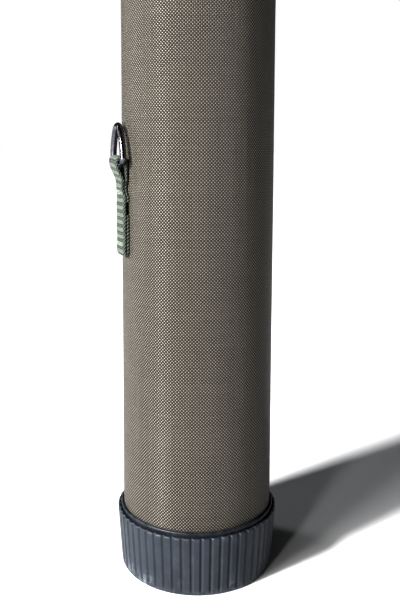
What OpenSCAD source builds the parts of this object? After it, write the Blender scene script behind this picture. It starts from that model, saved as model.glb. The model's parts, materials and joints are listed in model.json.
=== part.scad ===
// Rod case: a hard tube in a woven cover, closed at both ends by ribbed caps.
// Z runs along the tube, the bottom cap stands on Z = 0, and the webbing tabs, rings
// and carry handle sit in one line at tab_az degrees from +X.

/* [Tube] */
// Length of the closed case, from one cap face to the other
case_len = 1100; // [700:10:1600]
// Outside diameter of the rigid pipe
pipe_od = 75; // [75:0.5:76]
// Wall thickness of the pipe
pipe_wall = 2; // [2:0.1:2.4]
// Thickness of the woven cover
cover_t = 1.2; // [1:0.1:1.3]

/* [End caps] */
// Height of the ribbed cap
cap_h = 30.2; // [28:0.2:32]
// Radius over the ribs, carried on down to the closed end
cap_r_end = 39.7; // [39.4:0.1:40.2]
// Radius over the ribs at the rim
cap_r_rim = 41.85; // [41.6:0.05:42.4]
// Number of ribs round a cap
ribs = 54; // [36:2:60]
// Depth of the valleys between the ribs
rib_depth = 0.7; // [0.4:0.1:0.7]
// Thickness of the cap's closed end
cap_floor = 2.4; // [2:0.1:3]
// Height that the collar's lip stands past the cap's rim
lip_h = 2.2; // [2:0.1:4]

/* [Rings and tabs] */
// Direction that the tabs, rings and handle face, in degrees from +X
tab_az = 200; // [0:5:355]
// Height of the lower ring's bar
ring_z = 210.4; // [120:0.2:260]
// Wire diameter of a ring
wire_d = 3.2; // [2:0.1:3.4]
// Clear width inside a ring
ring_w = 16.2; // [16:0.1:22]
// Height of a ring from its bar to the middle of the wire at the top
ring_h = 17.6; // [16:0.2:20]
// Width of the tab webbing
web_w = 15; // [10:0.5:15]
// Thickness of the tab webbing
web_t = 1.4; // [1:0.1:1.4]
// Height of the lower tab's lower fold
tab_end_z = 163.8; // [150:0.2:165]

/* [Carry handle] */
// Width of the handle strap
strap_w = 25; // [20:1:30]
// Thickness of the handle strap
strap_t = 2; // [1.5:0.1:2.5]
// Clear height of the strap above the cover
handle_bow = 32; // [28:1:40]
// Length of the wrapped grip
grip_len = 100; // [80:5:120]
// Length of each sewn end of the strap
sewn_len = 42; // [35:1:50]

/* [Hidden] */
$fn = 180;
gap = 0.3;                                // running clearance between bodies
touch = 0.05;                             // hair line between sewn or glued pieces
pipe_r = pipe_od / 2;
pipe_ri = pipe_r - pipe_wall;
cover_r = pipe_r + cover_t;
cap_slope = (cap_r_rim - cap_r_end) / cap_h;
cap_lean = atan(cap_slope);
mouth_r = pipe_ri - 2;                    // clear radius through both collars
neck_r = 35.2;                            // collar's neck, under the thread
thread_r = 35.8;                          // crest of the neck's thread
thread_lead = 4;
thread_turns = 3;
cap_ri = 36.2;                            // bore of the cap round the neck
pipe_end = 24.5;                          // pipe's end, from the cap face
flange_z = 22;                            // collar's flange, from the cap face
cover_end = 26;                           // cover's end, from the cap face
lip_z = cap_h + lip_h;
lip_r = cover_r + 0.02;
pinch_r = cover_r - 0.4;                  // cover pinched under the lip
skirt_wall = 0.75;                        // cap wall behind the valleys, at the rim
plug_z = 44;                              // depth that the collar reaches into the pipe
neck_z = cap_floor + 2.9;
gasket_h = 2.6;
pad_t = 6;
pad_r = mouth_r - gap;
wire_r = wire_d / 2;
bar_r = cover_r + touch + web_t + 0.1 + wire_r;   // ring bar, from the tube's axis
ring_half = (ring_w + wire_d) / 2;
ring_top_r = (3 * ring_half - ring_h) / 2;        // bend at the top of a ring
ring_side_r = 5 * ring_half - 4 * ring_top_r;     // bend of its sides
tab_top_r = wire_r + 0.1 + web_t;
inner_end_z = ring_z - 19.6;              // end of the layer that passes behind the ring
tuck_z = ring_z - 26;                     // end of the layer tucked in at the lower fold
handle_mid = case_len / 2;
bow_len = 38;                             // stretch where the strap leaves the cover
grip_w = strap_w + 5;
grip_t = 9;
seam_w = 9;
seam_t = 0.8;

// Radius over the ribs at height z above the closed end
function crest_r(z) = cap_r_end + cap_slope * z;

// Outer radius of the collar, inside the cap, at height z above the closed end
function collar_r(z) = crest_r(z) - rib_depth - skirt_wall - gap;

// Turns a child built at the bottom end into the same one at the top end
module at_top() translate([0, 0, case_len]) mirror([0, 0, 1]) children();

// Places a child, drawn with X outwards, in the line of tabs
module on_tab_line() rotate([0, 0, tab_az]) children();

module cap_shape() {
    difference() {
        rotate_extrude() polygon([
            [0, 0], [cap_r_end - 1.3, 0], [cap_r_end - 0.5, 0.4], [crest_r(1.5), 1.5],
            [crest_r(cap_h - 0.7), cap_h - 0.7], [cap_r_rim - 0.4, cap_h], [0, cap_h]]);
        cap_cavity();
        cap_valleys();
        gate_ring();
    }
}

module cap_cavity() {
    rotate_extrude() polygon([
        [0, cap_floor], [cap_ri, cap_floor], [cap_ri, flange_z - gap],
        [collar_r(flange_z) + gap, flange_z - gap], [collar_r(cap_h) + gap, cap_h],
        [collar_r(cap_h) + gap, cap_h + 1], [0, cap_h + 1]]);
}

// The valleys leave a smooth band round the closed end and run out at the rim
module cap_valleys() {
    valley_r = 1.05;
    band = 2.2;
    for (i = [0 : ribs - 1])
        rotate([0, 0, (i + 0.5) * 360 / ribs])
            translate([crest_r(band) + valley_r - rib_depth, 0, band])
                rotate([0, cap_lean, 0]) cylinder(r = valley_r, h = cap_h);
}

// Shallow moulded ring in the flat of the closed end
module gate_ring() {
    translate([0, 0, -1]) difference() {
        cylinder(r = 28.2, h = 1.5);
        cylinder(r = 27, h = 1.5);
    }
}

// Threaded end fitting: neck, flange, plug inside the pipe and lip over the cover
module collar_shape() {
    rotate_extrude() polygon([
        [mouth_r, neck_z], [neck_r, neck_z], [neck_r, flange_z],
        [collar_r(flange_z), flange_z], [collar_r(cap_h), cap_h],
        [collar_r(cap_h), lip_z - 0.8], [collar_r(cap_h) - 0.2, lip_z - 0.25],
        [lip_r + 0.25, lip_z], [lip_r, lip_z - 0.3], [lip_r, lip_z - 0.9],
        [pinch_r + touch, lip_z - 1.2], [pinch_r + touch, cover_end],
        [pipe_r + touch, cover_end], [pipe_r + touch, pipe_end],
        [pipe_ri - touch, pipe_end], [pipe_ri - touch, plug_z], [mouth_r, plug_z]]);
    thread_ridges();
}

module thread_ridges() {
    for (i = [0 : thread_turns - 1])
        translate([0, 0, neck_z + 3 + i * thread_lead])
            rotate_extrude() polygon([
                [neck_r - 0.2, 0], [thread_r, 0.8], [thread_r, 1.4], [neck_r - 0.2, 2.2]]);
}

module gasket_shape() {
    translate([0, 0, cap_floor]) difference() {
        cylinder(r = cap_ri - 0.2, h = gasket_h);
        translate([0, 0, -1]) cylinder(r = mouth_r + 0.1, h = gasket_h + 2);
    }
}

module pad_shape() {
    chamfer = 1;
    cylinder(r = pad_r, h = pad_t - chamfer);
    translate([0, 0, pad_t - chamfer]) cylinder(r1 = pad_r, r2 = pad_r - chamfer, h = chamfer);
}

// Wire bent to an arc in the YZ plane about [y, z], kept between two directions
module wire_arc(y, z, bend_r, from, to) {
    reach = 20;
    translate([0, y, z]) intersection() {
        rotate([0, 90, 0]) rotate_extrude() translate([bend_r, 0]) circle(r = wire_r);
        rotate([90, 0, 90]) linear_extrude(height = 3 * wire_d, center = true)
            polygon([[0, 0], reach * from, reach * to]);
    }
}

// D-shaped wire ring standing on its bar, with the bar on the Y axis. Its sides lean in
// gently and meet the rounder top where the wire's radius slopes 3 up for 4 across.
module ring_shape() {
    rotate([90, 0, 0]) cylinder(r = wire_r, h = 2 * ring_half, center = true);
    for (side = [-1, 1]) translate([0, side * ring_half, 0]) sphere(r = wire_r);
    wire_arc(ring_half - ring_side_r, 0, ring_side_r, [5, 0], [4, 3]);
    wire_arc(ring_side_r - ring_half, 0, ring_side_r, [-4, 3], [-5, 0]);
    wire_arc(0, ring_h - ring_top_r, ring_top_r, [4, 3], [-4, 3]);
}

module ring_at_place() {
    on_tab_line() translate([bar_r, 0, ring_z]) ring_shape();
}

// Webbing folded round the ring's bar, with its other end tucked under at the lower fold
module tab_shape() {
    x0 = cover_r + touch;
    x1 = x0 + web_t;
    x2 = x0 + 2 * web_t;
    fold_r = web_t;
    on_tab_line() rotate([90, 0, 0]) linear_extrude(height = web_w, center = true)
        difference() {
            union() {
                translate([bar_r, ring_z]) circle(r = tab_top_r);
                translate([x0 + fold_r, tab_end_z + fold_r]) circle(r = fold_r);
                polygon([
                    [x0, ring_z], [x0, inner_end_z], [x1, inner_end_z], [x1, tuck_z],
                    [x0, tuck_z], [x0, tab_end_z + fold_r], [x2, tab_end_z + fold_r],
                    [x2, ring_z - 12], [x2 + 0.4, ring_z - 9], [bar_r + tab_top_r - 0.4, ring_z - 3],
                    [bar_r + tab_top_r, ring_z]]);
            }
            translate([bar_r, ring_z]) circle(r = wire_r + 0.1);
        }
}

// A bar of thread lying on the webbing, drawn with X outwards
module thread_bar(r, y, z, len_y, len_z) {
    stitch_t = 0.4;
    translate([r + stitch_t / 2, y, z]) cube([stitch_t, len_y, len_z], center = true);
}

// Two lines of stitching across the tab
module tab_stitches() {
    face = cover_r + touch + 2 * web_t;
    on_tab_line() for (z = [ring_z - 15, tab_end_z + 6])
        thread_bar(face, 0, z, web_w - 2.5, 1.2);
}

// Distance of the strap's inner face from the axis, by height from the handle's middle
function bow_u(h) = max(0, min(1, (grip_len / 2 + bow_len - abs(h)) / bow_len));
function bow_r(h) = cover_r + touch + handle_bow * (1 - cos(180 * bow_u(h))) / 2;

// Unit normal of the strap, pointing away from the tube
function bow_n(h) = let (d = (bow_r(h + 0.1) - bow_r(h - 0.1)) / 0.2) [1, -d] / sqrt(1 + d * d);

module handle_strap_shape() {
    half = grip_len / 2 + bow_len + sewn_len;
    run = [-half, for (i = [0 : 16]) -grip_len / 2 - bow_len * (1 - i / 16),
           for (i = [0 : 16]) grip_len / 2 + bow_len * i / 16, half];
    inner = [for (h = run) [bow_r(h), h]];
    outer = [for (i = [len(run) - 1 : -1 : 0])
             [bow_r(run[i]), run[i]] + strap_t * bow_n(run[i])];
    on_tab_line() translate([0, 0, handle_mid]) rotate([90, 0, 0])
        linear_extrude(height = strap_w, center = true) polygon(concat(inner, outer));
}

// Round-edged wrap about the strap
module handle_grip_shape() {
    mid = cover_r + touch + handle_bow + strap_t / 2;
    edge_r = grip_t / 2;
    on_tab_line() translate([mid, 0, handle_mid - grip_len / 2]) difference() {
        union() {
            translate([-edge_r, -grip_w / 2 + edge_r, 0])
                cube([grip_t, grip_w - grip_t, grip_len]);
            for (side = [-1, 1])
                translate([0, side * (grip_w / 2 - edge_r), 0])
                    cylinder(r = edge_r, h = grip_len);
        }
        translate([-strap_t / 2 - touch, -strap_w / 2 - touch, -1])
            cube([strap_t + 2 * touch, strap_w + 2 * touch, grip_len + 2]);
    }
}

// Boxed cross of stitching on one sewn end of the strap
module handle_stitches(side) {
    face = cover_r + touch + strap_t;
    box_h = sewn_len - 10;
    box_w = strap_w - 6;
    z = handle_mid + side * (grip_len / 2 + bow_len + sewn_len / 2);
    on_tab_line() {
        for (s = [-1, 1]) {
            thread_bar(face, 0, z + s * box_h / 2, box_w, 1);
            thread_bar(face, s * box_w / 2, z, 1, box_h + 1);
            translate([0, 0, z]) rotate([s * atan(box_w / box_h), 0, 0])
                thread_bar(face, 0, 0, 1, sqrt(box_h * box_h + box_w * box_w));
        }
    }
}

module pipe() color("gainsboro") {
    translate([0, 0, pipe_end]) difference() {
        cylinder(r = pipe_r, h = case_len - 2 * pipe_end);
        translate([0, 0, -1]) cylinder(r = pipe_ri, h = case_len - 2 * pipe_end + 2);
    }
}

module cover() color([0.36, 0.34, 0.30]) {
    inner_r = pipe_r + 0.02;
    z1 = cover_end + touch;
    z2 = lip_z - 1.1;
    rotate_extrude() polygon([
        [inner_r, z1], [pinch_r, z1], [pinch_r, z2], [cover_r, z2 + 0.5],
        [cover_r, case_len - z2 - 0.5], [pinch_r, case_len - z2],
        [pinch_r, case_len - z1], [inner_r, case_len - z1]]);
}

// Lapped seam of the cover, on the side away from the tabs
module cover_seam() color([0.32, 0.30, 0.26]) {
    margin = 0.6;
    rotate([0, 0, tab_az + 180]) intersection() {
        translate([0, 0, lip_z + margin]) difference() {
            cylinder(r = cover_r + seam_t, h = case_len - 2 * (lip_z + margin));
            translate([0, 0, -1]) cylinder(r = cover_r, h = case_len);
        }
        translate([0, -seam_w / 2, 0]) cube([pipe_od, seam_w, case_len]);
    }
}

module bottom_collar() color([0.22, 0.24, 0.27]) collar_shape();

module bottom_cap() color([0.17, 0.19, 0.22]) cap_shape();

module bottom_gasket() color([0.1, 0.1, 0.1]) gasket_shape();

module bottom_pad() color([0.25, 0.25, 0.26]) translate([0, 0, cap_floor]) pad_shape();

module top_collar() color([0.22, 0.24, 0.27]) at_top() collar_shape();

module top_cap() color([0.17, 0.19, 0.22]) at_top() cap_shape();

module top_gasket() color([0.1, 0.1, 0.1]) at_top() gasket_shape();

module top_pad() color([0.25, 0.25, 0.26]) at_top() translate([0, 0, cap_floor + gap]) pad_shape();

module lower_tab() color([0.36, 0.42, 0.34]) tab_shape();

module lower_tab_stitches() color([0.42, 0.48, 0.4]) tab_stitches();

module lower_ring() color([0.3, 0.3, 0.33]) ring_at_place();

module upper_tab() color([0.36, 0.42, 0.34]) at_top() tab_shape();

module upper_tab_stitches() color([0.42, 0.48, 0.4]) at_top() tab_stitches();

module upper_ring() color([0.3, 0.3, 0.33]) at_top() ring_at_place();

module handle_strap() color([0.36, 0.42, 0.34]) handle_strap_shape();

module handle_grip() color([0.2, 0.2, 0.19]) handle_grip_shape();

module lower_handle_stitches() color([0.42, 0.48, 0.4]) handle_stitches(-1);

module upper_handle_stitches() color([0.42, 0.48, 0.4]) handle_stitches(1);

pipe();
cover();
cover_seam();
bottom_collar();
bottom_cap();
bottom_gasket();
bottom_pad();
top_collar();
top_cap();
top_gasket();
top_pad();
lower_tab();
lower_tab_stitches();
lower_ring();
upper_tab();
upper_tab_stitches();
upper_ring();
handle_strap();
handle_grip();
lower_handle_stitches();
upper_handle_stitches();
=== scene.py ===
"""Looks of the rod case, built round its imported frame. Metres, +Z up, the case stands on Z = 0."""
import json
import math

import bmesh
import bpy
from mathutils import Matrix, Vector, noise


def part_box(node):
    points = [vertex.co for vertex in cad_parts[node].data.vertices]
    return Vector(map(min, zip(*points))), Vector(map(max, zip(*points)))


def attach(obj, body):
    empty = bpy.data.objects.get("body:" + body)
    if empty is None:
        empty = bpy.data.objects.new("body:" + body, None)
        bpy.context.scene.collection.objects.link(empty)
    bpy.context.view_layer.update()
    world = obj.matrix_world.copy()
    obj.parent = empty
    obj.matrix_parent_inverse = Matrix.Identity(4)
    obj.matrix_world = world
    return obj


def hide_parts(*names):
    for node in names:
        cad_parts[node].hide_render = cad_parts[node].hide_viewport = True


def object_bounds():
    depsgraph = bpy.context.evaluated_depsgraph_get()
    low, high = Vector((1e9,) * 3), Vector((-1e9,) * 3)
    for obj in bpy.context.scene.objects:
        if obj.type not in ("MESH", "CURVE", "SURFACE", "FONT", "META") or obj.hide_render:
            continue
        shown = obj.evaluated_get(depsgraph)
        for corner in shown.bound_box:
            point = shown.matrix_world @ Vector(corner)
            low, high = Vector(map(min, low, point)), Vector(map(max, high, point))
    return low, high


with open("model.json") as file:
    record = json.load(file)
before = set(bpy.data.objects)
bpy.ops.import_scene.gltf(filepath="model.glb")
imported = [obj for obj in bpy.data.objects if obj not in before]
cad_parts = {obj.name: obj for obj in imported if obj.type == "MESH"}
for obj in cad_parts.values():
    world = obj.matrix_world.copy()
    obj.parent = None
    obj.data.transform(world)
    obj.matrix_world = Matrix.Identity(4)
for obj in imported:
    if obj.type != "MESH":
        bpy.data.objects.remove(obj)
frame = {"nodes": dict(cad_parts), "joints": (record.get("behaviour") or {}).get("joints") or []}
CAD_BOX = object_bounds()
MM = 0.001

# ---------------------------------------------------------------- sizes, from the frame
CASE_LEN = CAD_BOX[1][2]
CAP_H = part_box("bottom_cap")[1][2]
CAP_RIM_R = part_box("bottom_cap")[1][0]
CAP_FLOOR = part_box("bottom_gasket")[0][2]
GASKET_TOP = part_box("bottom_gasket")[1][2]
PAD_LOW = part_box("bottom_pad")[0][2]
PAD_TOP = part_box("bottom_pad")[1][2]
PLUG_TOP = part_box("bottom_collar")[1][2]
COVER_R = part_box("cover")[1][0]
COVER_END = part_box("cover")[0][2]
PIPE_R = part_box("pipe")[1][0]
TAB_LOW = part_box("lower_tab")[0][2]
STRAP_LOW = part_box("handle_strap")[0][2]
GRIP_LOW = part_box("handle_grip")[0][2]
GRIP_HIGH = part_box("handle_grip")[1][2]

JOINT = {j["name"]: j for j in frame["joints"]}
RING_POS = Vector(JOINT["lower_ring_swing"]["pos_m"])
RING_R = RING_POS.xy.length
RING_Z = RING_POS.z
RING_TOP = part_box("lower_ring")[1][2]
WIRE_R = RING_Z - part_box("lower_ring")[0][2]

# ---------------------------------------------------------------- sizes that no box gives
LINE_AZ = math.radians(200)         # the line that the tabs and the handle are sewn along
SEAM_AZ = LINE_AZ + math.pi
MOUTH_R = PIPE_R - 4.0 * MM         # the clear way into the tube
RIBS = 54
RIB_DEPTH = 0.7 * MM
CAP_END_R = CAP_RIM_R - 2.15 * MM   # the closed end is narrower than the rim
CAVITY_R = 36.2 * MM                # the cap's bore, round the neck
FLANGE_Z = 22 * MM                  # where the bore widens for the collar's flange
NECK_R = 35.2 * MM
THREAD_R = 35.8 * MM
PIPE_SEAT_Z = 24.5 * MM             # the shoulder that the pipe's end stands on
LIP_Z = CAP_H + 2.2 * MM            # top of the collar's rolled lip
RING_HALF = 8.1 * MM + WIRE_R       # half the ring's width, to the middle of its wire
SEWN_GAP = 0.06 * MM                # between the cover and what is sewn on it
LAYER_GAP = 0.02 * MM               # between two layers of the tab
WEB_T = 1.4 * MM
WEB_W = 15.0 * MM
WEB_PITCH = 3.6 * MM
STRAP_W = 25.0 * MM
STRAP_T = 2.0 * MM
HANDLE_BOW = 32.0 * MM


# ---------------------------------------------------------------- node material helpers
class Nodes:
    """Short way to build a material's node tree."""

    def __init__(self, name):
        self.material = bpy.data.materials.new(name)
        self.material.use_nodes = True
        self.tree = self.material.node_tree
        self.shader = self.tree.nodes["Principled BSDF"]

    def put(self, socket, value):
        """Links value to the socket if it is an output, or sets it as the default."""
        if isinstance(value, bpy.types.NodeSocket):
            self.tree.links.new(value, socket)
        else:
            socket.default_value = value

    def math(self, operation, a, b=0.0, c=0.0):
        node = self.tree.nodes.new("ShaderNodeMath")
        node.operation = operation
        for socket, value in zip(node.inputs, (a, b, c)):
            self.put(socket, value)
        return node.outputs[0]

    def angle(self, distance, length):
        """An angle that turns once in each length of the distance."""
        return self.math("MULTIPLY", distance, 2 * math.pi / length)

    def wave(self, angle):
        """Sine of an angle, from 0 to 1."""
        return self.math("MULTIPLY", self.math("ADD", self.math("SINE", angle), 1), 0.5)

    def blend(self, a, b, share):
        """a where share is 0, b where it is 1."""
        rest = self.math("SUBTRACT", 1.0, share)
        return self.math("ADD", self.math("MULTIPLY", a, rest), self.math("MULTIPLY", b, share))

    def add(self, value, extra, gain):
        return self.math("ADD", value, self.math("MULTIPLY", extra, gain))

    def vary(self, value, by, gain, middle=0.5):
        """value, raised where by is over its middle and lowered where it is under."""
        return self.add(value, self.math("SUBTRACT", by, middle), gain)

    def noise(self, vector, scale, detail=2.0, rough=0.5, distort=0.0):
        node = self.tree.nodes.new("ShaderNodeTexNoise")
        self.put(node.inputs["Vector"], vector)
        node.inputs["Scale"].default_value = scale
        node.inputs["Detail"].default_value = detail
        node.inputs["Roughness"].default_value = rough
        node.inputs["Distortion"].default_value = distort
        return node.outputs["Fac"]

    def stretch(self, vector, scale):
        node = self.tree.nodes.new("ShaderNodeMapping")
        self.put(node.inputs["Vector"], vector)
        node.inputs["Scale"].default_value = scale
        return node.outputs[0]

    def ramp(self, factor, stops):
        """stops are (position, (r, g, b)) pairs."""
        node = self.tree.nodes.new("ShaderNodeValToRGB")
        self.put(node.inputs[0], factor)
        elements = node.color_ramp.elements
        while len(elements) < len(stops):
            elements.new(0.5)
        for element, (position, colour) in zip(elements, stops):
            element.position = position
            element.color = (*colour, 1)
        return node.outputs[0]

    def steps(self, factor, low, high, out_low=0.0, out_high=1.0):
        """Smooth step of factor from low to high."""
        node = self.tree.nodes.new("ShaderNodeMapRange")
        node.interpolation_type = "SMOOTHSTEP"
        for socket, value in zip(node.inputs, (factor, low, high, out_low, out_high)):
            self.put(socket, value)
        return node.outputs[0]

    def mix(self, factor, a, b, blend="MIX"):
        node = self.tree.nodes.new("ShaderNodeMix")
        node.data_type = "RGBA"
        node.blend_type = blend
        self.put(node.inputs[0], factor)
        for socket, value in ((node.inputs[6], a), (node.inputs[7], b)):
            self.put(socket, (*value, 1) if isinstance(value, tuple) else value)
        return node.outputs[2]

    def grey(self, value):
        """A grey colour from a number."""
        node = self.tree.nodes.new("ShaderNodeCombineColor")
        for socket in node.inputs[:3]:
            self.put(socket, value)
        return node.outputs[0]

    def surface(self):
        """(u, v) of the surface in metres, as a vector and as two numbers."""
        node = self.tree.nodes.new("ShaderNodeUVMap")
        node.uv_map = "surface"
        split = self.tree.nodes.new("ShaderNodeSeparateXYZ")
        self.tree.links.new(node.outputs[0], split.inputs[0])
        return node.outputs[0], split.outputs[0], split.outputs[1]

    def place(self):
        """Object space position, in metres."""
        return self.tree.nodes.new("ShaderNodeTexCoord").outputs["Object"]

    def attribute(self, name):
        node = self.tree.nodes.new("ShaderNodeAttribute")
        node.attribute_name = name
        return node.outputs["Fac"]

    def bump(self, height, distance, strength=1.0):
        node = self.tree.nodes.new("ShaderNodeBump")
        node.inputs["Distance"].default_value = distance
        node.inputs["Strength"].default_value = strength
        self.put(node.inputs["Height"], height)
        self.put(self.shader.inputs["Normal"], node.outputs[0])

    def finish(self, colour, roughness, **fixed):
        self.put(self.shader.inputs["Base Color"], colour)
        self.put(self.shader.inputs["Roughness"], roughness)
        for name, value in fixed.items():
            self.shader.inputs[name.replace("_", " ")].default_value = value
        return self.material


def between(dark, light, share):
    """The colour at a share of the way from dark to light."""
    return tuple((1 - share) * a + share * b for a, b in zip(dark, light))


def woven(name, pitch_u, pitch_v, dark, light, depth):
    """Plain weave: a pale, glossier weft thread shows at every other crossing, a darker warp between."""
    n = Nodes(name)
    vector, u, v = n.surface()
    sine_u = n.math("SINE", n.angle(u, 2 * pitch_u))
    sine_v = n.math("SINE", n.angle(v, 2 * pitch_v))
    over = n.math("MULTIPLY", sine_u, sine_v)
    round_u = n.math("ABSOLUTE", sine_u)
    round_v = n.math("ABSOLUTE", sine_v)
    weft = n.math("MULTIPLY", round_v, n.steps(round_u, low=0.0, high=0.65))
    warp = n.math("MULTIPLY", round_u, n.steps(round_v, low=0.0, high=0.65))
    height = n.blend(warp, weft, n.steps(over, low=-0.12, high=0.12))
    warp_streak = n.noise(n.stretch(vector, (1 / pitch_u, 9.0, 1.0)), scale=1.0, detail=1.0)
    weft_streak = n.noise(n.stretch(vector, (9.0, 1 / pitch_v, 1.0)), scale=1.0, detail=1.0)
    fuzz = n.noise(vector, scale=1900.0, detail=2.0)
    patches = n.noise(n.stretch(n.place(), (1.0, 1.0, 0.45)), scale=22.0, detail=4.0, rough=0.62)
    tone = n.add(0.48, over, 0.66)
    # Painted shade: the tone is lowered in the hollows between the threads' crowns and raised on the
    # crowns, as the bump's height goes.
    tone = n.vary(tone, height, 0.35, middle=0.6)
    tone = n.vary(tone, n.blend(warp_streak, weft_streak, 0.5), 0.40)
    tone = n.vary(tone, fuzz, 0.5)
    tone = n.vary(tone, patches, 0.16)
    colour = n.ramp(tone, [(0.20, dark), (0.56, between(dark, light, 0.3)), (1.0, light)])
    rough = n.steps(tone, low=0.2, high=0.9, out_low=0.62, out_high=0.32)
    n.bump(n.add(height, fuzz, 0.12), depth)
    return n.finish(colour, rough, Specular_IOR_Level=0.55)


def webbing(name, pitch, dark, light, depth):
    """Ribbed webbing: rungs across, each of three threads, with corded edges."""
    n = Nodes(name)
    vector, u, v = n.surface()
    edge = n.attribute("edge")
    rung = n.blend(n.wave(n.angle(u, pitch)), n.wave(n.angle(u, pitch / 3)), 0.38)
    cord = n.wave(n.math("ADD", n.angle(u, pitch * 0.5), n.angle(v, pitch * 0.42)))
    fuzz = n.noise(n.place(), scale=1500.0, detail=3.0)
    strands = n.noise(n.stretch(vector, (500.0, 2600.0, 1.0)), scale=1.0, detail=2.0)
    height = n.blend(rung, cord, edge)
    # Painted shade: the colour follows the rungs' height, dark in the grooves between rungs and pale on
    # their crests.
    tone = n.vary(height, fuzz, 0.9)
    tone = n.vary(tone, strands, 0.6)
    # Painted shade: the corded edges are made darker by a fixed amount.
    tone = n.add(tone, edge, -0.28)
    colour = n.ramp(tone, [(0.15, dark), (0.5, between(dark, light, 0.55)), (0.95, light)])
    rough = n.steps(tone, low=0.2, high=0.9, out_low=0.85, out_high=0.62)
    n.bump(n.add(height, strands, 0.35), depth)
    return n.finish(colour, rough, Sheen_Weight=0.06, Sheen_Roughness=0.5)


def thread(name, dark, light):
    """Twisted sewing thread."""
    n = Nodes(name)
    _, u, v = n.surface()
    ply = n.wave(n.math("ADD", n.angle(u, 0.7 * MM), n.angle(v, 0.9 * MM)))
    # Painted shade: the colour follows the twist's height, darker in the grooves between the plies.
    tone = n.add(ply, n.noise(n.place(), scale=1800.0, detail=2.0), 0.4)
    n.bump(ply, 0.08 * MM)
    return n.finish(n.ramp(tone, [(0.1, dark), (1.0, light)]), 0.6, Sheen_Weight=0.15)


def moulded(name, base, pale_wear_and_highlight, rough=0.42, chalk=1.0):
    """Moulded plastic: faint flow marks, hairline scratches, and pale wear and painted highlights where
    the mesh says.
    """
    n = Nodes(name)
    place = n.place()
    cloud = n.noise(place, scale=60.0, detail=4.0, rough=0.6)
    speck = n.noise(place, scale=900.0, detail=3.0, rough=0.65)
    hairs = n.noise(n.stretch(place, (420.0, 420.0, 34.0)), scale=1.0, detail=3.0, rough=0.7, distort=0.4)
    scratch = n.steps(hairs, low=0.62, high=0.75)
    dust = n.steps(n.noise(place, scale=210.0, detail=5.0, rough=0.7), low=0.53, high=0.72)
    patchy = n.steps(n.noise(place, scale=330.0, detail=4.0, rough=0.68), low=0.38, high=0.62)
    # The mesh's values hold real wear and painted highlights (the cap's rim and the collar's lip); both
    # turn the colour pale.
    rub_and_highlight = n.math("MULTIPLY", n.attribute("wear_and_highlight"), patchy)
    dull = n.add(n.math("MULTIPLY", scratch, 0.10 * chalk), dust, 0.07 * chalk)
    amount = n.math("MINIMUM", n.add(dull, rub_and_highlight, 0.8), 1.0)
    shade = n.steps(cloud, low=0.3, high=0.7, out_low=0.86, out_high=1.12)
    tinted = n.mix(1.0, base, n.grey(shade), "MULTIPLY")
    roughness = n.vary(n.add(rough, amount, 0.28), speck, 0.12)
    n.bump(n.add(n.math("MULTIPLY", speck, 0.4), scratch, -0.6), 0.05 * MM)
    return n.finish(n.mix(amount, tinted, pale_wear_and_highlight), roughness, Specular_IOR_Level=0.25)


def foam(name, base):
    """Closed-cell foam: small round cells."""
    n = Nodes(name)
    cells = n.tree.nodes.new("ShaderNodeTexVoronoi")
    n.put(cells.inputs["Vector"], n.place())
    cells.inputs["Scale"].default_value = 1100.0
    depth = n.steps(cells.outputs["Distance"], 0.1, 0.6)
    light = tuple(1.5 * c for c in base)
    n.bump(depth, 0.12 * MM)
    # Painted shade: the cell pits are darker and the cell walls paler, as the bump's height goes.
    return n.finish(n.ramp(depth, [(0.0, tuple(0.5 * c for c in base)), (1.0, light)]), 0.9)


def gunmetal(name):
    """Dark plated wire, polished, with fine handling marks."""
    n = Nodes(name)
    place = n.place()
    haze = n.noise(place, scale=260.0, detail=4.0, rough=0.6)
    lines = n.noise(n.stretch(place, (900.0, 900.0, 160.0)), scale=1.0, detail=3.0, rough=0.7)
    marks = n.steps(lines, low=0.58, high=0.72)
    colour = n.ramp(haze, [(0.3, (0.11, 0.11, 0.13)), (0.7, (0.19, 0.185, 0.205))])
    n.bump(n.math("ADD", haze, marks), 0.02 * MM)
    return n.finish(colour, n.add(0.16, marks, 0.22), Metallic=1.0)


def extruded(name, base):
    """Extruded grey pipe with fine die lines along it."""
    n = Nodes(name)
    place = n.place()
    lines = n.noise(n.stretch(place, (1400.0, 1400.0, 3.0)), scale=1.0, detail=2.0)
    cloud = n.noise(place, scale=45.0, detail=3.0)
    shade = n.steps(cloud, low=0.3, high=0.7, out_low=0.9, out_high=1.06)
    n.bump(lines, 0.03 * MM)
    rough = n.steps(lines, low=0.3, high=0.7, out_low=0.38, out_high=0.5)
    return n.finish(n.mix(1.0, base, n.grey(shade), "MULTIPLY"), rough)


WEAVE_REPEATS = 151   # thread pairs round the tube, so the pattern closes on itself
CLOTH = woven("cover_weave", math.pi * COVER_R / WEAVE_REPEATS, 0.825 * MM,
              dark=(0.005, 0.0044, 0.0034), light=(0.205, 0.185, 0.152), depth=0.26 * MM)
SEAM_CLOTH = woven("seam_weave", 0.825 * MM, 0.80 * MM,
                   dark=(0.0045, 0.004, 0.003), light=(0.165, 0.148, 0.12), depth=0.26 * MM)
GRIP_CLOTH = woven("grip_weave", 0.8 * MM, 0.8 * MM,
                   dark=(0.009, 0.009, 0.0085), light=(0.10, 0.10, 0.093), depth=0.25 * MM)
WEB = webbing("tab_webbing", WEB_PITCH,
              dark=(0.011, 0.018, 0.0125), light=(0.102, 0.122, 0.103), depth=0.34 * MM)
STRAP_WEB = webbing("strap_webbing", 2.4 * MM,
                    dark=(0.014, 0.022, 0.015), light=(0.085, 0.107, 0.085), depth=0.3 * MM)
THREAD = thread("sewing_thread", dark=(0.06, 0.08, 0.06), light=(0.22, 0.26, 0.21))
SEAM_THREAD = thread("seam_thread", dark=(0.05, 0.045, 0.035), light=(0.26, 0.24, 0.19))
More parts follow.
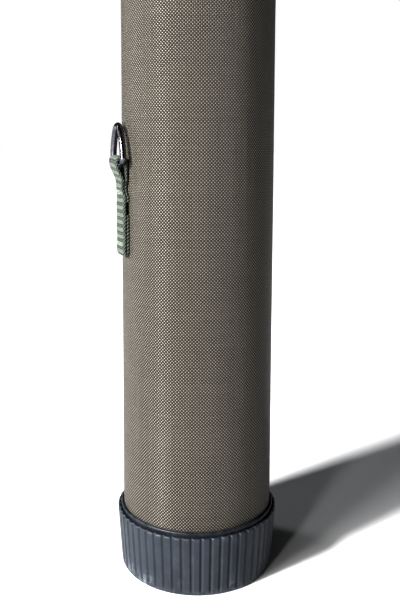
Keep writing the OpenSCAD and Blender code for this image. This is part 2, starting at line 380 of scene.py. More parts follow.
CAP_PLASTIC = moulded("cap_plastic", (0.027, 0.0325, 0.041), pale_wear_and_highlight=(0.20, 0.22, 0.25))
COLLAR_PLASTIC = moulded("collar_plastic", (0.010, 0.012, 0.016), pale_wear_and_highlight=(0.12, 0.135, 0.16),
                         rough=0.36, chalk=0.6)
RUBBER = moulded("gasket_rubber", (0.018, 0.018, 0.018), pale_wear_and_highlight=(0.07, 0.07, 0.07),
                 rough=0.62, chalk=0.5)
FOAM = foam("pad_foam", (0.05, 0.05, 0.052))
METAL = gunmetal("ring_metal")
PIPE = extruded("pipe_plastic", (0.52, 0.52, 0.50))


# ---------------------------------------------------------------- mesh helpers
def new_piece(name, shape, material, body, nodes=(), values=None):
    """A mesh object. shape is (vertices, faces, uvs), with one (u, v) in metres for each corner of each
    face. values holds one number for each vertex, by name."""
    verts, faces, uvs = shape
    mesh = bpy.data.meshes.new(name)
    mesh.from_pydata([tuple(v) for v in verts], [], faces)
    mesh.update()
    layer = mesh.uv_layers.new(name="surface")
    for polygon, corner_uvs in zip(mesh.polygons, uvs):
        for loop, uv in zip(polygon.loop_indices, corner_uvs):
            layer.data[loop].uv = uv
    for key, numbers in (values or {}).items():
        attribute = mesh.attributes.new(key, "FLOAT", "POINT")
        attribute.data.foreach_set("value", numbers)
    for polygon in mesh.polygons:
        polygon.use_smooth = True
    mesh.materials.append(material)
    piece = bpy.data.objects.new(name, mesh)
    bpy.context.scene.collection.objects.link(piece)
    if nodes:
        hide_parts(*nodes)
    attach(piece, body)
    return piece


def face_outwards(piece):
    bm = bmesh.new()
    bm.from_mesh(piece.data)
    bmesh.ops.recalc_face_normals(bm, faces=bm.faces)
    bm.to_mesh(piece.data)
    bm.free()


def distances(points):
    """Distance along a line of points, at each of them."""
    out = [0.0]
    for a, b in zip(points, points[1:]):
        out.append(out[-1] + math.dist(a, b))
    return out


def skin(along, around, swap=False, end_uv=(0.0, 0.0)):
    """Faces and uvs of a closed section repeated along a line, with capped ends. along is the distance of
    each row. around is that of each section point, and of the first one again. swap puts around first."""
    count = len(around) - 1
    faces, uvs = [], []
    for i in range(len(along) - 1):
        for k in range(count):
            m = (k + 1) % count
            faces.append((i * count + k, i * count + m, (i + 1) * count + m, (i + 1) * count + k))
            corners = ((along[i], around[k]), (along[i], around[k + 1]),
                       (along[i + 1], around[k + 1]), (along[i + 1], around[k]))
            uvs.append(tuple(c[::-1] for c in corners) if swap else corners)
    last = (len(along) - 1) * count
    for end in (range(count - 1, -1, -1), range(last, last + count)):
        faces.append(tuple(end))
        uvs.append((end_uv,) * count)
    return faces, uvs


def arc(centre, radius, start, end, count):
    """Points round an arc, in degrees."""
    out = []
    for i in range(count + 1):
        a = math.radians(start + (end - start) * i / count)
        out.append((centre[0] + radius * math.cos(a), centre[1] + radius * math.sin(a)))
    return out


def subdivide(points, longest):
    """Adds points along straight runs so that no step of the profile is longer than longest."""
    out = [points[0]]
    for a, b in zip(points, points[1:]):
        steps = max(1, math.ceil(math.dist(a[:2], b[:2]) / longest))
        for i in range(1, steps + 1):
            out.append(tuple(p + (q - p) * i / steps for p, q in zip(a, b)))
    return out


def revolve(profile, segments, move=None, flip=False):
    """Turns a closed profile of (r, z) points round Z. move(angle, r, z) gives a point its own radius.
    flip mirrors it to the top of the case. Returns vertices, faces and uvs."""
    verts = []
    for i in range(segments):
        angle = 2 * math.pi * i / segments
        for r, z in profile:
            radius = move(angle, r, z) if move else r
            verts.append((radius * math.cos(angle), radius * math.sin(angle), from_end(z, flip)))
    rows = len(profile)
    along = distances(profile + profile[:1])
    widest = max(r for r, _ in profile)
    faces, uvs = [], []
    for i in range(segments):
        j = (i + 1) % segments
        u0, u1 = (2 * math.pi * k / segments * widest for k in (i, i + 1))
        for k in range(rows):
            m = (k + 1) % rows
            face = (i * rows + k, j * rows + k, j * rows + m, i * rows + m)
            uv = ((u0, along[k]), (u1, along[k]), (u1, along[k + 1]), (u0, along[k + 1]))
            faces.append(face[::-1] if flip else face)
            uvs.append(uv[::-1] if flip else uv)
    return verts, faces, uvs


def from_end(z, flip):
    """Height above the floor of a point z from its own end of the case, and the other way round."""
    return CASE_LEN - z if flip else z


def path_normals(path):
    """Unit normals of an open path, to its right."""
    out = []
    for i in range(len(path)):
        a, b = path[max(i - 1, 0)], path[min(i + 1, len(path) - 1)]
        dx, dz = b[0] - a[0], b[1] - a[1]
        length = math.hypot(dx, dz) or 1.0
        out.append((dz / length, -dx / length))
    return out


def to_row(out, side, up, bend=0.0):
    """Row-space point from the tab line's own axes. bend wraps the side way round the tube."""
    turn = bend * side / max(out, 1e-6)
    x = out + bend * (out * math.cos(turn) - out)
    y = side + bend * (out * math.sin(turn) - side)
    c, s = math.cos(LINE_AZ), math.sin(LINE_AZ)
    return (x * c - y * s, x * s + y * c, up)


def on_tube(out, side, up):
    """The same, with the side way wrapped fully round the tube."""
    return to_row(out, side, up, 1.0)


def strap_section(width, thickness, steps=18):
    """Rounded flat section with bulging edges, as (side, out) points."""
    r = thickness / 2
    half = width / 2 - r
    right = arc((half, r), r, -90, 90, 6)
    left = arc((-half, r), r, 90, 270, 6)
    flat = [(-half + 2 * half * i / steps, 0.0) for i in range(1, steps)]
    top = [(half - 2 * half * i / steps, thickness) for i in range(1, steps)]
    return flat + right + top + left


def mirrored(shape):
    """The same mesh at the other end of the case."""
    verts, faces, uvs = shape
    return [(x, y, CASE_LEN - z) for x, y, z in verts], [f[::-1] for f in faces], [u[::-1] for u in uvs]


def stitch_mesh(stitches, radius):
    """One mesh of short round stitches. Each stitch is (start, end, outward normal)."""
    verts, faces, uvs = [], [], []
    sides, rows = 8, 6
    for start, end, normal in stitches:
        start, end, normal = Vector(start), Vector(end), Vector(normal).normalized()
        run = end - start
        length = run.length
        run.normalize()
        side = run.cross(normal).normalized()
        base = len(verts)
        for i in range(rows + 1):
            t = i / rows
            swell = math.sqrt(max(0.0, 1 - (2 * t - 1) ** 4))
            centre = start.lerp(end, t) + normal * radius * (1.25 * swell - 0.75)
            for k in range(sides):
                a = 2 * math.pi * k / sides
                r = radius * (0.35 + 0.65 * swell)
                verts.append(centre + side * math.cos(a) * r + normal * math.sin(a) * r)
        for i in range(rows):
            for k in range(sides):
                m = (k + 1) % sides
                faces.append((base + i * sides + k, base + i * sides + m,
                              base + (i + 1) * sides + m, base + (i + 1) * sides + k))
                u0, u1 = length * i / rows, length * (i + 1) / rows
                v0, v1 = (2 * math.pi * radius * q / sides for q in (k, k + 1))
                uvs.append(((u0, v0), (u0, v1), (u1, v1), (u1, v0)))
        faces.append(tuple(base + k for k in range(sides))[::-1])
        faces.append(tuple(base + rows * sides + k for k in range(sides)))
        uvs.append(((0.0, 0.0),) * sides)
        uvs.append(((0.0, 0.0),) * sides)
    return verts, faces, uvs


def stitch_line(a, b, out, pitch):
    """Stitches from a to b, given as (side, up), at distance out from the axis."""
    count = max(1, round(math.dist(a, b) / pitch))
    gap = 0.28
    made = []
    for i in range(count):
        t0, t1 = (i + gap / 2) / count, (i + 1 - gap / 2) / count
        ends = [(a[0] + (b[0] - a[0]) * t, a[1] + (b[1] - a[1]) * t) for t in (t0, t1)]
        p0, p1 = (Vector(on_tube(out, s, z)) for s, z in ends)
        normal = Vector((p0.x + p1.x, p0.y + p1.y, 0))
        made.append((p0, p1, normal))
    return made


# ---------------------------------------------------------------- pipe, cover and seam
def dress_node(node, material):
    """A CAD node whose shape is right gets its finish."""
    item = frame["nodes"][node]
    item.data.materials.clear()
    item.data.materials.append(material)


def make_cover():
    """The woven cover, drawn tight on the pipe and pinched under the collars' lips."""
    inner_r = PIPE_R + 0.05 * MM
    pinch_r = COVER_R - 0.38 * MM
    lip = LIP_Z - 1.1 * MM
    outer = [(pinch_r, COVER_END), (pinch_r, lip), (COVER_R - 0.12 * MM, lip + 0.35 * MM),
             (COVER_R, lip + 1.2 * MM), (COVER_R, CASE_LEN - lip - 1.2 * MM),
             (COVER_R - 0.12 * MM, CASE_LEN - lip - 0.35 * MM), (pinch_r, CASE_LEN - lip),
             (pinch_r, CASE_LEN - COVER_END)]
    inner = [(inner_r, CASE_LEN - COVER_END), (inner_r, COVER_END)]
    profile = subdivide(outer, 6 * MM) + subdivide(inner, 60 * MM)

    def waves(angle, r, z):
        """Low waves along the cloth, and small puckers under each lip."""
        if r < pinch_r - 0.01 * MM:
            return r
        near_end = min(z, CASE_LEN - z) - lip
        pucker = math.exp(-max(near_end, 0.0) / (5 * MM))
        spot = Vector((math.cos(angle) * 2.2, math.sin(angle) * 2.2, z * 14))
        soft = noise.noise(spot) * 0.10 * MM
        fine = noise.noise(Vector((math.cos(angle) * 9, math.sin(angle) * 9, z * 60))) * 0.05 * MM
        return r + soft * (1 - pucker) + fine - pucker * 0.05 * MM * (1 + math.sin(41 * angle))

    cover = new_piece("cover_cloth", revolve(profile, 240, waves), CLOTH, "root", ["cover"])


def seam_wander(z):
    """How far the seam strays from a straight line."""
    return noise.noise(Vector((3.1, 1.7, z * 9))) * 0.35 * MM


def make_seam():
    """The cover's lapped seam, with a row of stitches near each edge."""
    half = 4.5 * MM
    row_at = 0.72
    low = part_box("cover_seam")[0][2]
    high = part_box("cover_seam")[1][2]
    rows = 150
    section = []
    for i in range(13):
        t = -1 + i / 6
        lift = 0.75 * MM * (1 - abs(t) ** 8) ** 0.5 + 0.04 * MM
        lift -= 0.22 * MM * math.exp(-((abs(t) - row_at) / 0.12) ** 2)
        section.append((t * half, lift))
    section += [(half, -0.15 * MM), (-half, -0.15 * MM)]
    verts = []
    for k in range(rows + 1):
        z = low + (high - low) * k / rows
        for side, lift in section:
            angle = SEAM_AZ + (side + seam_wander(z)) / COVER_R
            r = COVER_R + lift
            verts.append((r * math.cos(angle), r * math.sin(angle), z))
    along = [(high - low) * k / rows for k in range(rows + 1)]
    across = [side for side, _ in section + section[:1]]
    faces, uvs = skin(along, across, swap=True)
    new_piece("seam_lap", (verts, faces, uvs), SEAM_CLOTH, "root", ["cover_seam"])

    stitches = []
    pitch = 3.4 * MM
    count = int((high - low - 2 * MM) / pitch)
    for row in (-1, 1):
        for i in range(count):
            z = low + MM + i * pitch
            angle = SEAM_AZ + (row * row_at * half + seam_wander(z)) / COVER_R
            out = Vector((math.cos(angle), math.sin(angle), 0))
            foot = out * (COVER_R + 0.50 * MM)
            stitches.append((foot + Vector((0, 0, z)), foot + Vector((0, 0, z + 0.74 * pitch)), out))
    new_piece("seam_stitches", stitch_mesh(stitches, 0.27 * MM), SEAM_THREAD, "root")


# ---------------------------------------------------------------- end caps
def crest_r(z):
    """Radius of the ribs' crests, z from the cap's closed end."""
    return CAP_END_R + (CAP_RIM_R - CAP_END_R) * z / CAP_H


def hump(distance, width):
    """1 at no distance, falling away over the width."""
    return math.exp(-(distance / width) ** 2)


def valley(angle):
    """1 in the bottom of a valley, 0 on a rib's broad crest."""
    phase = (angle / (2 * math.pi) * RIBS + 0.5) % 1.0
    from_middle = abs(phase - 0.5) * 2
    return max(0.0, 1 - (from_middle / 0.40) ** 2)


def make_cap(name, node, body, flip, seed):
    """Ribbed cap: a smooth band round the closed end, then ribs that run out at the rim."""
    foot_in, foot_out = 26.8 * MM, 28.4 * MM
    groove = 0.35 * MM
    edge = 1.35 * MM
    rim_r = 0.8 * MM
    rim_wall = 1.42 * MM
    bore_wall = 1.45 * MM
    ribs_from = 1.6 * MM
    ribs_to = CAP_H - 0.9 * MM
    bore_z = FLANGE_Z - 0.3 * MM
    outer = [(0.05 * MM, 0.0), (foot_in, 0.0), (foot_in + 0.3 * MM, groove), (foot_out - 0.3 * MM, groove),
             (foot_out, 0.0), (CAP_END_R - edge, 0.0)]
    outer = subdivide(outer, 6 * MM) + arc((CAP_END_R - edge, edge), edge, -90, -4, 7)[1:]
    side = subdivide([(crest_r(ribs_from), ribs_from), (crest_r(ribs_to), ribs_to)], 1.3 * MM)
    rim = arc((CAP_RIM_R - 0.85 * MM, CAP_H - rim_r), rim_r, 10, 90, 5)
    inner_r = CAP_RIM_R - rim_wall
    inner = [(inner_r, CAP_H - 0.2 * MM), (inner_r - 0.05 * MM, CAP_H - 1.0 * MM),
             (crest_r(FLANGE_Z) - bore_wall, bore_z), (CAVITY_R, bore_z),
             (CAVITY_R, CAP_FLOOR), (0.05 * MM, CAP_FLOOR)]

    def ribs(angle, r, z):
        if r < crest_r(z) - 1.0 * MM or z < 1.0 * MM:
            return r
        rise = min(1.0, max(0.0, (z - ribs_from) / (1.2 * MM)))
        return r - RIB_DEPTH * valley(angle) * rise

    shape = revolve(outer + side + rim + inner, RIBS * 16, ribs, flip)
    wear_and_highlight = []
    for x, y, z in shape[0]:
        height = from_end(z, flip)
        if math.hypot(x, y) <= crest_r(height) - 1.0 * MM:
            wear_and_highlight.append(0.12)
            continue
        patch = noise.noise(Vector((x * 90 + seed, y * 90, z * 90))) * 0.5 + 0.5
        crest = 1 - valley(math.atan2(y, x))
        foot = hump(height - 1.2 * MM, 1.7 * MM) * 0.5 * patch
        # Painted highlight: pale rib ends along the rim's edge.
        rim_highlight = hump(height - CAP_H + 0.4 * MM, 0.55 * MM) * crest * 0.16 * (0.5 + patch)
        witness = 0.22 * hump(height - 0.7 * CAP_H, 0.35 * MM)
        scuff = crest * max(0.0, patch - 0.50) * 3.0 * max(0.08, 1 - height / (12 * MM))
        wear_and_highlight.append(max(0.0, min(1.0, foot + rim_highlight + witness + scuff)))
    new_piece(name, shape, CAP_PLASTIC, body, [node], {"wear_and_highlight": wear_and_highlight})


def make_collar(name, node, flip):
    """End fitting: threaded neck, flange, and the rolled lip that hugs the cover."""
    chamfer = 0.3 * MM
    neck_z = GASKET_TOP + 0.3 * MM
    wall = 1.75 * MM
    low_r = crest_r(FLANGE_Z) - wall
    high_r = crest_r(CAP_H) - wall
    outer = [(MOUTH_R + chamfer, neck_z), (NECK_R - chamfer, neck_z), (NECK_R, neck_z + chamfer)]
    for i in range(3):
        z = neck_z + 3 * MM + 4 * MM * i
        outer += [(NECK_R, z), (THREAD_R - 0.1 * MM, z + 0.7 * MM), (THREAD_R, z + 1.1 * MM),
                  (THREAD_R - 0.1 * MM, z + 1.5 * MM), (NECK_R, z + 2.2 * MM)]
    outer += [(NECK_R, FLANGE_Z), (low_r, FLANGE_Z), (high_r, CAP_H - 0.4 * MM),
              (high_r - 0.12 * MM, CAP_H), (high_r - 0.05 * MM, CAP_H + 0.35 * MM)]
    lip_r = (high_r - COVER_R) / 2 + 0.12 * MM
    outer += arc((COVER_R + lip_r - 0.16 * MM, LIP_Z - lip_r), lip_r, -8, 190, 12)
    seat_r, plug_r = PIPE_R + 0.05 * MM, PIPE_R - 2.05 * MM
    inner = [(COVER_R - 0.3 * MM, LIP_Z - 1.25 * MM), (COVER_R - 0.36 * MM, COVER_END),
             (seat_r, COVER_END), (seat_r, PIPE_SEAT_Z), (plug_r, PIPE_SEAT_Z),
             (plug_r, PLUG_TOP - 0.6 * MM), (PIPE_R - 2.6 * MM, PLUG_TOP),
             (MOUTH_R, PLUG_TOP), (MOUTH_R, neck_z + chamfer)]
    shape = revolve(outer + inner, 288, None, flip)
    wear_and_highlight = []
    for x, y, z in shape[0]:
        patch = noise.noise(Vector((x * 70, y * 70, z * 70))) * 0.5 + 0.5
        # Painted highlight: the crest of the rolled lip is made pale in patches, above an even slight
        # wear.
        lip = max(0.0, (from_end(z, flip) - LIP_Z + 0.9 * MM) / (0.9 * MM))
        wear_and_highlight.append(min(1.0, 0.10 + lip * patch * 0.35))
    new_piece(name, shape, COLLAR_PLASTIC, "root", [node], {"wear_and_highlight": wear_and_highlight})


def make_pad(name, node, body, flip, low):
    """Foam disc with soft pressed edges and a shallow dish."""
    r = MOUTH_R - 0.35 * MM
    high = low + (PAD_TOP - PAD_LOW)
    edge = 1.4 * MM
    profile = [(0.05 * MM, low), (r - 0.4 * MM, low), (r, low + 0.4 * MM), (r, high - edge)]
    profile += arc((r - edge, high - edge), edge, 0, 90, 6)[1:]
    profile += [(0.6 * r, high - 0.25 * MM), (0.25 * r, high - 0.45 * MM), (0.05 * MM, high - 0.5 * MM)]
    pad = new_piece(name, revolve(subdivide(profile, 5 * MM), 96, None, flip), FOAM, body, [node])


def make_gasket(name, node, body, flip):
    """Flat ring of rubber with a bead on its face."""
    r_in, r_out = MOUTH_R + 0.1 * MM, 36.0 * MM
    low, high = CAP_FLOOR, GASKET_TOP
    mid = (r_in + r_out) / 2
    edge, bead = 0.5 * MM, 0.25 * MM
    profile = [(r_in, low), (r_out, low), (r_out, high - edge)]
    profile += arc((r_out - edge, high - edge), edge, 0, 90, 3)[1:]
    profile += [(mid + edge, high - bead), (mid, high), (mid - edge, high - bead),
                (r_in + 0.3 * MM, high - bead), (r_in, high - edge)]
    shape = revolve(profile, 144, None, flip)
    new_piece(name, shape, RUBBER, body, [node], {"wear_and_highlight": [0.1] * len(shape[0])})


# ---------------------------------------------------------------- webbing tabs and rings
def ring_path():
    """Closed D: the bar along the side way, sides that lean in, and a rounder top. (side, up) points."""
    top = RING_TOP - WIRE_R - RING_Z
    half = RING_HALF
    corner = 1.7 * MM
    top_r = (3 * half - top) / 2
    side_r = 5 * half - 4 * top_r
    meet = math.degrees(math.atan2(3, 4))
    start = math.degrees(corner / side_r)
    points = arc((half - corner, corner), corner, -90, 0, 6)
    points += arc((half - side_r, 0.0), side_r, start, meet, 14)[1:]
    points += arc((0.0, top - top_r), top_r, meet, 180 - meet, 18)[1:]
    points += arc((side_r - half, 0.0), side_r, 180 - meet, 180 - start, 14)[1:]
    points += arc((-half + corner, corner), corner, 180, 270, 6)[1:]
    points += [(-half + corner + 2 * (half - corner) * i / 10, 0.0) for i in range(1, 10)]
    return points


def make_ring(name, node, body, flip):
    """Round wire bent to the D and closed."""
    path = ring_path()
    sides = 20
    verts, faces, uvs = [], [], []
    total = len(path)
    run = 0.0
    for i, (side, up) in enumerate(path):
        before, after = path[i - 1], path[(i + 1) % total]
        t = Vector((after[0] - before[0], after[1] - before[1])).normalized()
        normal = Vector((t.y, -t.x))
        for k in range(sides):
            a = 2 * math.pi * k / sides
            out = math.cos(a) * WIRE_R
            flat = math.sin(a) * WIRE_R
            verts.append(to_row(RING_R + out, side + normal.x * flat, RING_Z + up + normal.y * flat))
    for i in range(total):
        j = (i + 1) % total
        step = math.dist(path[i], path[j])
        for k in range(sides):
            m = (k + 1) % sides
            faces.append((i * sides + k, i * sides + m, j * sides + m, j * sides + k))
            v0, v1 = (2 * math.pi * WIRE_R * q / sides for q in (k, k + 1))
            uvs.append(((run, v0), (run, v1), (run + step, v1), (run + step, v0)))
        run += step
    shape = (verts, faces, uvs)
    ring = new_piece(name, mirrored(shape) if flip else shape, METAL, body, [node])
    face_outwards(ring)


def tab_path():
    """Centre line of the tab's webbing: up from the tucked end, round the lower fold, up the outside,
    round the ring's bar and down behind it. (out, up) points, 0 out at the tube's axis."""
    x_in = COVER_R + SEWN_GAP + WEB_T / 2
    x_out = x_in + WEB_T + LAYER_GAP
    tuck_z = RING_Z - 26 * MM
    back_z = RING_Z - 19.6 * MM
    throat_z = RING_Z - 10.5 * MM
    fold_r = (x_out - x_in) / 2
    low = TAB_LOW + WEB_T / 2 + fold_r
    loop_r = WIRE_R + 0.08 * MM + WEB_T / 2
    loop_x = RING_R + loop_r
    points = [(x_in, tuck_z - (tuck_z - low) * i / 14) for i in range(15)]
    points += arc((x_in + fold_r, low), fold_r, 180, 360, 6)[1:]
    points += [(x_out + 0.12 * MM * math.sin(i * 0.9), low + (throat_z - low) * i / 24)
               for i in range(1, 25)]
    for i in range(1, 9):
        t = i / 8
        ease = t * t * (3 - 2 * t)
        points.append((x_out + (loop_x - x_out) * ease, throat_z + (RING_Z - throat_z) * t))
    points += arc((RING_R, RING_Z), loop_r, 0, 180, 12)[1:]
    points += [(x_in + LAYER_GAP, RING_Z - (RING_Z - back_z) * i / 12) for i in range(1, 13)]
    return points


def resample(path, normals, rows):
    """The path and its normals at rows + 1 even steps. Returns (distance, point, normal) rows."""
    along = distances(path)
    out = []
    k = 0
    for i in range(rows + 1):
        s = along[-1] * i / rows
        while k < len(along) - 2 and along[k + 1] < s:
            k += 1
        t = (s - along[k]) / (along[k + 1] - along[k])
        point, normal = (tuple(a + (b - a) * t for a, b in zip(line[k], line[k + 1]))
                         for line in (path, normals))
        out.append((s, point, normal))
    return out


def make_tab(name, node, flip):
    """The folded webbing, with raised rungs and corded edges. It leaves the tube, a little skewed, as it
    nears the ring."""
    path = tab_path()
    half_w = WEB_W / 2
    section = [(s, o - WEB_T / 2) for s, o in strap_section(WEB_W, WEB_T)]
    line = resample(path, path_normals(path), int(distances(path)[-1] / (WEB_PITCH / 9)))
    verts, edge = [], []
    for s, (x, z), (nx, nz) in line:
        rung = 0.5 + 0.5 * math.sin(2 * math.pi * s / WEB_PITCH)
        wrap = max(0.0, min(1.0, (RING_Z - 9 * MM - z) / (8 * MM)))
        for side, out in section:
            near = abs(side) / half_w
            bulge = 0.16 * MM * (rung ** 0.6 - 0.5) * (1 if near < 0.84 else 0.2)
            cord = 0.14 * MM * math.sin(4 * math.pi * s / WEB_PITCH) * (1 if near > 0.9 else 0)
            lift = out + math.copysign(bulge, out) * min(1.0, abs(out) / (0.45 * WEB_T))
            skew = -0.455 * MM * (side / half_w) * (1 - wrap)
            verts.append(to_row(x + nx * lift, side * (1 + cord / half_w), z + nz * lift + skew, wrap))
            edge.append(1.0 if near > 0.86 else 0.0)
    around = distances(section + section[:1])
    faces, uvs = skin([s for s, _, _ in line], around, end_uv=(0.0, around[-1] / 2))
    shape = (verts, faces, uvs)
    tab = new_piece(name, mirrored(shape) if flip else shape, WEB, "root", [node],
                    {"edge": edge})
    face_outwards(tab)


def make_tab_stitches(name, node, flip):
    """Two sewn bars across the tab, through both layers."""
    face = COVER_R + SEWN_GAP + 2 * WEB_T + LAYER_GAP
    half = WEB_W / 2 - 1.6 * MM
    stitches = []
    for z in (RING_Z - 15 * MM, TAB_LOW + 6 * MM):
        for row in (-1, 0, 1):
            up = z + row * 0.75 * MM
            stitches += stitch_line((-half, up), (half, up), face - 0.05 * MM, 2.0 * MM)
    shape = stitch_mesh(stitches, 0.26 * MM)
    piece = new_piece(name, mirrored(shape) if flip else shape, THREAD, "root", [node])
    face_outwards(piece)


# ---------------------------------------------------------------- carry handle
def handle_path():
    """Centre line of the strap: flat on the cover, a smooth bow out, the grip, and back. (out, up)."""
    base = COVER_R + SEWN_GAP + STRAP_T / 2
    middle = CASE_LEN / 2
    grip_half = (GRIP_HIGH - GRIP_LOW) / 2
    bow_len = 38 * MM
    sewn = middle - STRAP_LOW
    points = []
    steps = 120
    for i in range(steps + 1):
        h = -sewn + 2 * sewn * i / steps
        u = max(0.0, min(1.0, (grip_half + bow_len - abs(h)) / bow_len))
        bow = HANDLE_BOW * (1 - math.cos(math.pi * u)) / 2
        points.append((base + bow, middle + h))
    return points


def make_handle_strap():
    """The strap, wrapped on the tube where it is sewn and flat where it stands off."""
    path = handle_path()
    normals = path_normals(path)
    section = [(s, o - STRAP_T / 2) for s, o in strap_section(STRAP_W, STRAP_T, 24)]
    base = path[0][0]
    verts, edge = [], []
    for (x, z), (nx, nz) in zip(path, normals):
        bend = max(0.0, 1 - (x - base) / (9 * MM))
        bend = bend * bend * (3 - 2 * bend)
        for side, out in section:
            verts.append(to_row(x + nx * out, side, z + nz * out, bend))
            edge.append(1.0 if abs(side) / (STRAP_W / 2) > 0.9 else 0.0)
    faces, uvs = skin(distances(path), distances(section + section[:1]))
    piece = new_piece("handle_webbing", (verts, faces, uvs), STRAP_WEB, "root",
                      ["handle_strap"], {"edge": edge})
    face_outwards(piece)


def make_handle_grip():
    """Padded wrap: swells between its bound ends, with a sewn closing seam on the tube's side."""
    mid_r = COVER_R + 0.05 * MM + HANDLE_BOW + STRAP_T / 2
    width, thick = STRAP_W + 5 * MM, 9 * MM
    mean_r = 11 * MM
    length = GRIP_HIGH - GRIP_LOW
    rows, sides = 60, 48
    verts = []
    for i in range(rows + 1):
        t = i / rows
        end = min(t, 1 - t) * length
        swell = 0.86 + 0.14 * min(1.0, end / (6 * MM)) ** 0.5
        bead = 0.05 * hump(end - 1.4 * MM, 0.9 * MM)
        groove = 0.05 * hump(end - 3.4 * MM, 0.8 * MM)
        scale = swell + bead - groove
        for k in range(sides):
            a = 2 * math.pi * k / sides
            side = math.copysign(abs(math.cos(a)) ** 0.62, math.cos(a)) * width / 2
            out = math.copysign(abs(math.sin(a)) ** 0.8, math.sin(a)) * thick / 2
            seam = 0.7 * MM * hump(side, 0.8 * MM) if out < 0 else 0.0
            verts.append(to_row(mid_r + (out * scale + seam), side * (0.5 + 0.5 * scale),
                                GRIP_LOW + t * length))
    along = [length * i / rows for i in range(rows + 1)]
    around = [2 * math.pi * k / sides * mean_r for k in range(sides + 1)]
    faces, uvs = skin(along, around, swap=True)
    grip = new_piece("grip_wrap", (verts, faces, uvs), GRIP_CLOTH, "root", ["handle_grip"])
    face_outwards(grip)


def make_handle_stitches(name, node):
    """A sewn box with a cross in it, at one end of the strap."""
    face = COVER_R + SEWN_GAP + STRAP_T - 0.05 * MM
    low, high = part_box(node)[0][2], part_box(node)[1][2]
    half = (STRAP_W - 6 * MM) / 2
    corners = [(-half, low), (half, low), (half, high), (-half, high)]
    sides = [*zip(corners, corners[1:] + corners[:1])]
    crossed = [(corners[0], corners[2]), (corners[1], corners[3])]
    stitches = []
    for a, b in sides + crossed:
        stitches += stitch_line(a, b, face, 2.5 * MM)
    piece = new_piece(name, stitch_mesh(stitches, 0.3 * MM), THREAD, "root", [node])
    face_outwards(piece)


# ---------------------------------------------------------------- floor, lights and camera
def make_stage():
    """A pale floor, wide enough to have no edge in view."""
    size = 60.0
    mesh = bpy.data.meshes.new("floor")
    mesh.from_pydata([(-size, -size, 0), (size, -size, 0), (size, size, 0), (-size, size, 0)],
                     [], [(0, 1, 2, 3)])
    mesh.materials.append(Nodes("pale_floor").finish((0.90, 0.91, 0.93, 1), 0.8))
    floor = bpy.data.objects.new("floor", mesh)
    bpy.context.scene.collection.objects.link(floor)


def add_lamp(data, azimuth, elevation, distance, power, colour, target=(0, 0, 0)):
    """Aims a light at the target. azimuth is in degrees from the camera's side (-Y), positive to -X."""
    az, el = math.radians(azimuth), math.radians(elevation)
    way = Vector((-math.sin(az) * math.cos(el), -math.cos(az) * math.cos(el), math.sin(el)))
    data.energy = power
    data.color = colour
    lamp = bpy.data.objects.new(data.name, data)
    lamp.location = Vector(target) + way * distance
    lamp.rotation_euler = (-way).to_track_quat("-Z", "Y").to_euler()
    bpy.context.scene.collection.objects.link(lamp)


def area_light(name, azimuth, elevation, size, power, target, colour):
    data = bpy.data.lights.new(name, "AREA")
    data.shape = "RECTANGLE"
    data.size, data.size_y = size
    add_lamp(data, azimuth, elevation, 1.5, power, colour, target)


def sun_light(name, azimuth, elevation, angle, strength, colour):
    data = bpy.data.lights.new(name, "SUN")
    data.angle = math.radians(angle)
    add_lamp(data, azimuth, elevation, 3, strength, colour)


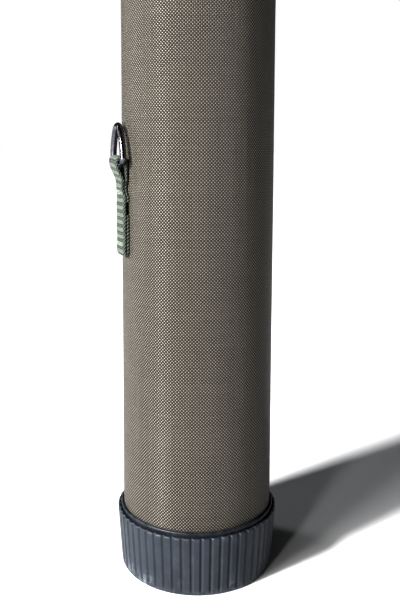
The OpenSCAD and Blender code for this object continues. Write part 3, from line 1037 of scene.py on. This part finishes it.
def make_lights():
    """A low sun as key, two tall soft boxes for the gloss down the cloth, and a faint edge light. The
    backdrop is white to the camera, and gives little light itself."""
    warm = (1.0, 0.985, 0.96)
    sun_light("key", 53, 27, angle=7, strength=9.6, colour=(1.0, 0.985, 0.965))
    area_light("softbox", 42, 4, size=(0.25, 1.2), power=30, target=(0, 0, 0.2), colour=warm)
    area_light("strip", 26, 2, size=(0.14, 1.2), power=17, target=(0, 0, 0.2), colour=warm)
    area_light("edge", 112, 20, size=(0.3, 1.2), power=7, target=(0, 0, 0.25), colour=(0.95, 0.97, 1.0))
    world = bpy.data.worlds.new("studio")
    bpy.context.scene.world = world
    world.use_nodes = True
    nodes, links = world.node_tree.nodes, world.node_tree.links
    fill = nodes["Background"]
    seen = nodes.new("ShaderNodeBackground")
    for background, strength in ((fill, 0.04), (seen, 1.0)):
        background.inputs["Color"].default_value = (1, 1, 1, 1)
        background.inputs["Strength"].default_value = strength
    path = nodes.new("ShaderNodeLightPath")
    mix = nodes.new("ShaderNodeMixShader")
    links.new(path.outputs["Is Camera Ray"], mix.inputs[0])
    links.new(fill.outputs[0], mix.inputs[1])
    links.new(seen.outputs[0], mix.inputs[2])
    links.new(mix.outputs[0], nodes["World Output"].inputs[0])


def make_camera():
    """Standing close, just above the ring, looking a little down at the lower end of the case."""
    data = bpy.data.cameras.new("camera")
    data.lens = 44.16
    data.sensor_width = 36.0
    data.shift_x = 0.004
    data.shift_y = -0.1325
    data.clip_start = 0.02
    camera = bpy.data.objects.new("camera", data)
    distance, height, looks_down, lean = 0.3787, 0.2158, 5.40, 0.18
    tilt = Matrix.Rotation(math.radians(90 - looks_down), 4, "X")
    roll = Matrix.Rotation(math.radians(lean), 4, "Z")
    camera.matrix_world = Matrix.Translation((0, -distance, height)) @ tilt @ roll
    bpy.context.scene.collection.objects.link(camera)
    bpy.context.scene.camera = camera
    bpy.context.scene.view_settings.view_transform = "Standard"
    bpy.context.scene.view_settings.gamma = 0.7


make_camera()
make_stage()
make_lights()
dress_node("pipe", PIPE)
make_cover()
make_seam()
make_cap("bottom_cap_shell", "bottom_cap", "root", False, 0.0)
make_cap("top_cap_shell", "top_cap", "screw_cap", True, 5.0)
make_collar("bottom_collar_ring", "bottom_collar", False)
make_collar("top_collar_ring", "top_collar", True)
make_gasket("bottom_seal", "bottom_gasket", "root", False)
make_gasket("top_seal", "top_gasket", "screw_cap", True)
make_pad("bottom_foam", "bottom_pad", "root", False, PAD_LOW)
make_pad("top_foam", "top_pad", "cap_liner", True, CASE_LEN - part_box("top_pad")[1][2])
make_tab("lower_tab_webbing", "lower_tab", False)
make_tab("upper_tab_webbing", "upper_tab", True)
make_tab_stitches("lower_tab_thread", "lower_tab_stitches", False)
make_tab_stitches("upper_tab_thread", "upper_tab_stitches", True)
make_ring("lower_ring_wire", "lower_ring", "lower_d_ring", False)
make_ring("upper_ring_wire", "upper_ring", "upper_d_ring", True)
make_handle_strap()
make_handle_grip()
make_handle_stitches("lower_handle_thread", "lower_handle_stitches")
make_handle_stitches("upper_handle_thread", "upper_handle_stitches")
